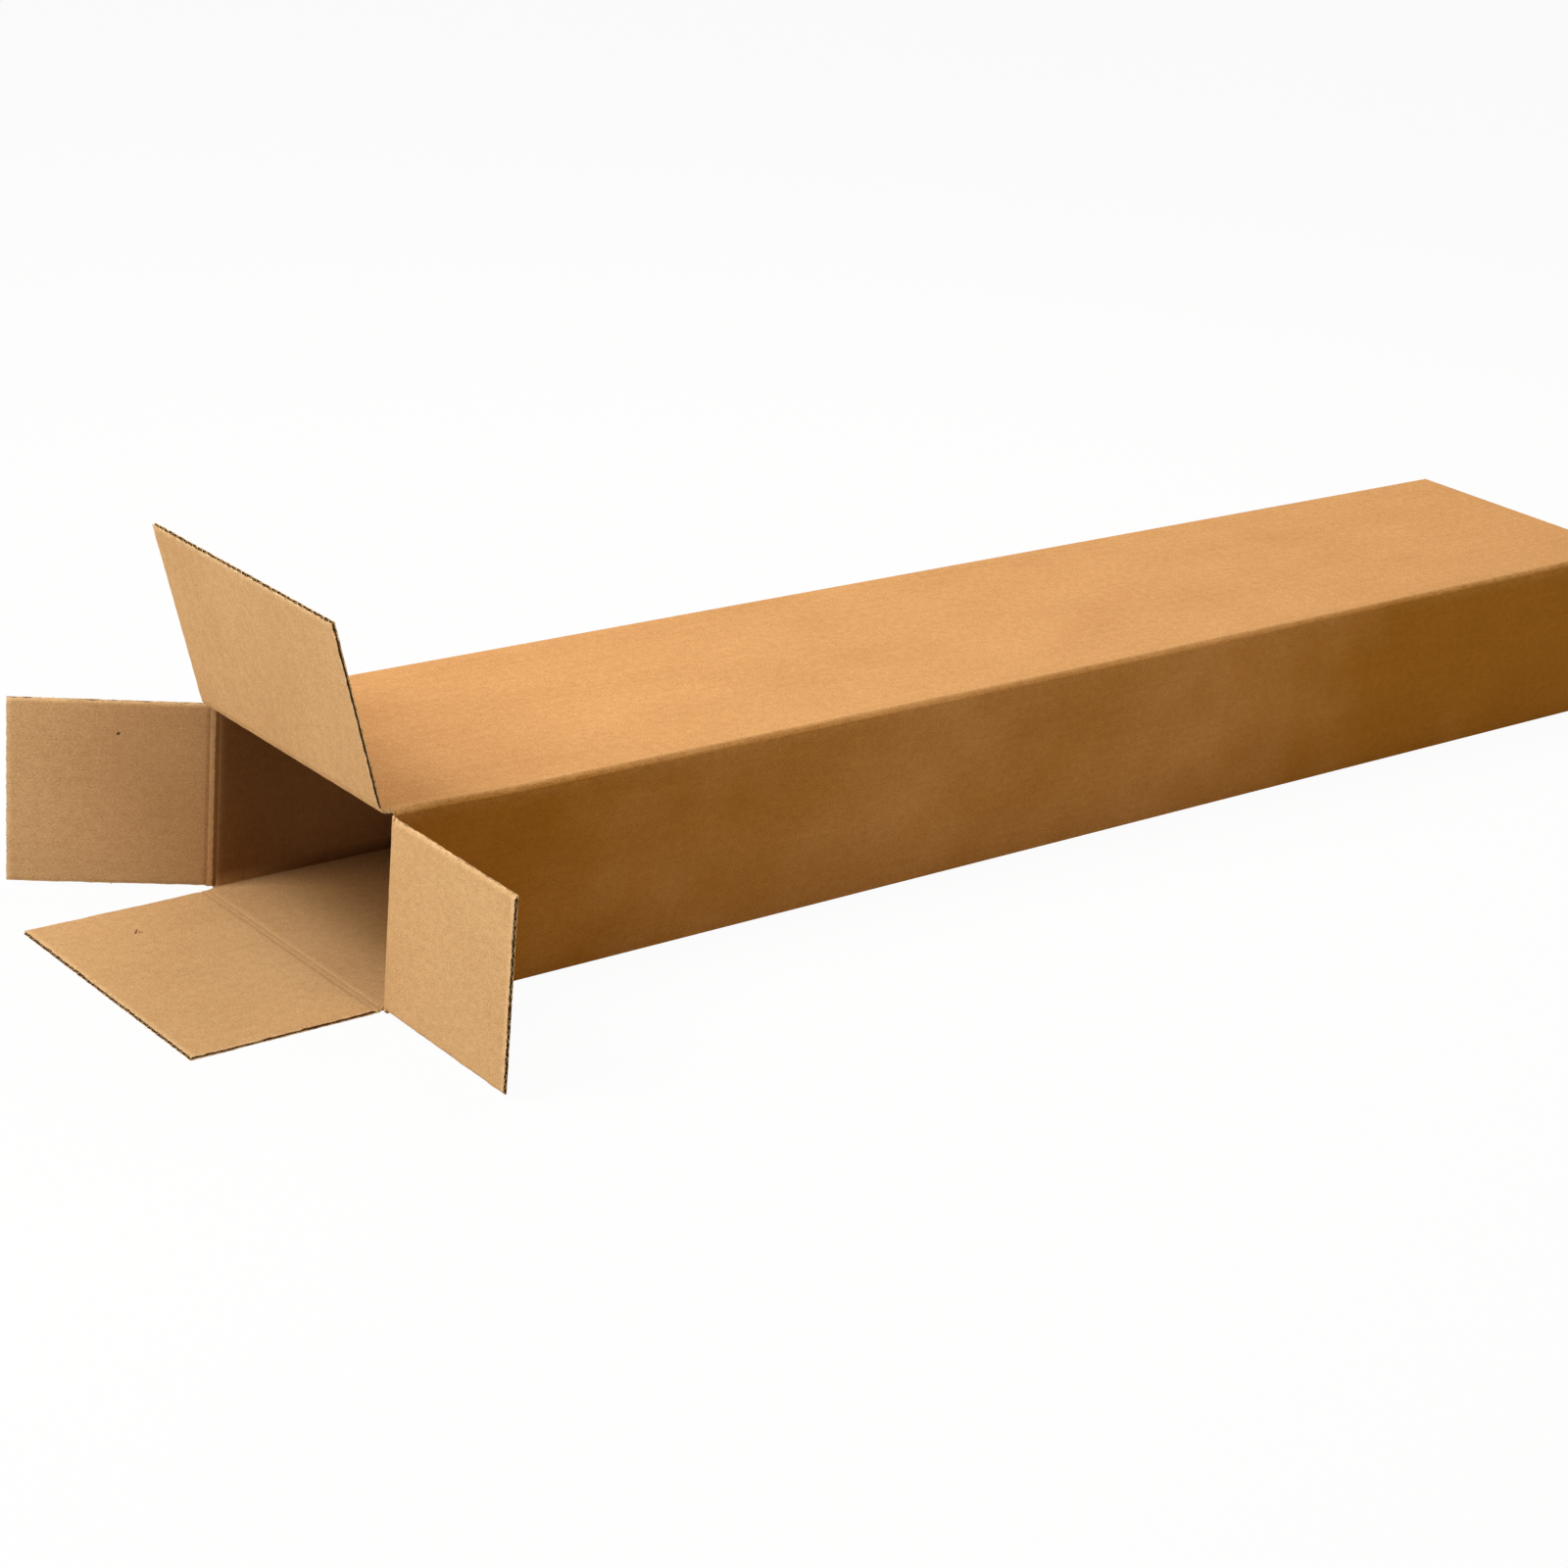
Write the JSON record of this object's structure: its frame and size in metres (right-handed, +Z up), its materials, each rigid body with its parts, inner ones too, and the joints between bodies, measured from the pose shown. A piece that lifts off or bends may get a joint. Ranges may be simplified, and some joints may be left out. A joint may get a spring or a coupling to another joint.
{
  "type": "long corrugated carton",
  "caption": "Long corrugated board carton on its wide face, closed and glued at one end, with hinged full-overlap flaps open at the other.",
  "frame": {"origin": "the middle of the underside, on the surface that the carton lies on", "axes": "+X along the length towards the closed end, +Y across the width towards the back wall, +Z up"},
  "size_m": [1.8607, 0.5841, 0.3667],
  "materials": {
    "kraft_outside": "matt brown kraft liner",
    "kraft_flap": "matt lighter kraft liner, fluted cut edges"
  },
  "bodies": {
    "body": {"carton_body": "kraft_outside"},
    "top_flap": {"flap_top": "kraft_flap"},
    "bottom_flap": {"flap_bottom": "kraft_flap"},
    "front_flap": {"flap_front": "kraft_flap"},
    "back_flap": {"flap_back": "kraft_flap"}
  },
  "joints": [
    {"name": "top_flap_crease", "type": "hinge", "parent": "body", "child": "top_flap", "pos_m": [-0.84, 0, 0.19], "axis": [0, 1, 0], "range_deg": [-162.8, 92.2]},
    {"name": "bottom_flap_crease", "type": "hinge", "parent": "body", "child": "bottom_flap", "pos_m": [-0.8357, 0, 0], "axis": [0, -1, 0], "range_deg": [-90, 0]},
    {"name": "front_flap_crease", "type": "hinge", "parent": "body", "child": "front_flap", "pos_m": [-0.8314, -0.15, 0.095], "axis": [0, 0, 1], "range_deg": [-179.1, 75.9]},
    {"name": "back_flap_crease", "type": "hinge", "parent": "body", "child": "back_flap", "pos_m": [-0.8271, 0.15, 0.095], "axis": [0, 0, -1], "range_deg": [-122.4, 132.6]}
  ]
}
